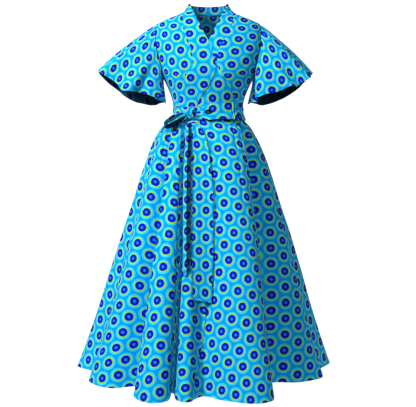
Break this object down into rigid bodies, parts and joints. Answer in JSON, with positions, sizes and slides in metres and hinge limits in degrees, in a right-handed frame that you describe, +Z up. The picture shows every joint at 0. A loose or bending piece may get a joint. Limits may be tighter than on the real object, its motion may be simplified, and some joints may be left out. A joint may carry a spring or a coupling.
{
  "type": "wrap dress",
  "caption": "Wrap dress in printed cotton with a crossed V neck, grown-on stand collar, flared short sleeves, full flared skirt and a sash tied in a bow, open as worn.",
  "frame": {"origin": "midway between the tops of the shoulder seams at the neck, where a wearer's shoulders carry the dress", "axes": "+Z up, -Y towards the front, +X towards the wearer's left"},
  "size_m": [0.9488, 0.8805, 1.3305],
  "materials": {
    "dress_cotton": "matte printed cotton, mid blue with ringed discs",
    "sash_cotton": "matte printed cotton, the same cloth as the dress"
  },
  "bodies": {
    "root": {"front_right_centre": "dress_cotton", "front_right_side": "dress_cotton", "front_left_centre": "dress_cotton", "front_left_side": "dress_cotton", "back": "dress_cotton", "collar": "dress_cotton", "sleeve_right": "dress_cotton", "sleeve_left": "dress_cotton", "skirt_front_right": "dress_cotton", "skirt_front_left": "dress_cotton", "skirt_back_left": "dress_cotton", "skirt_back_right": "dress_cotton", "sash_band": "sash_cotton", "sash_knot": "sash_cotton", "sash_loop_left": "sash_cotton", "sash_loop_right": "sash_cotton", "sash_end_long": "sash_cotton", "sash_end_short": "sash_cotton"}
  },
  "joints": []
}
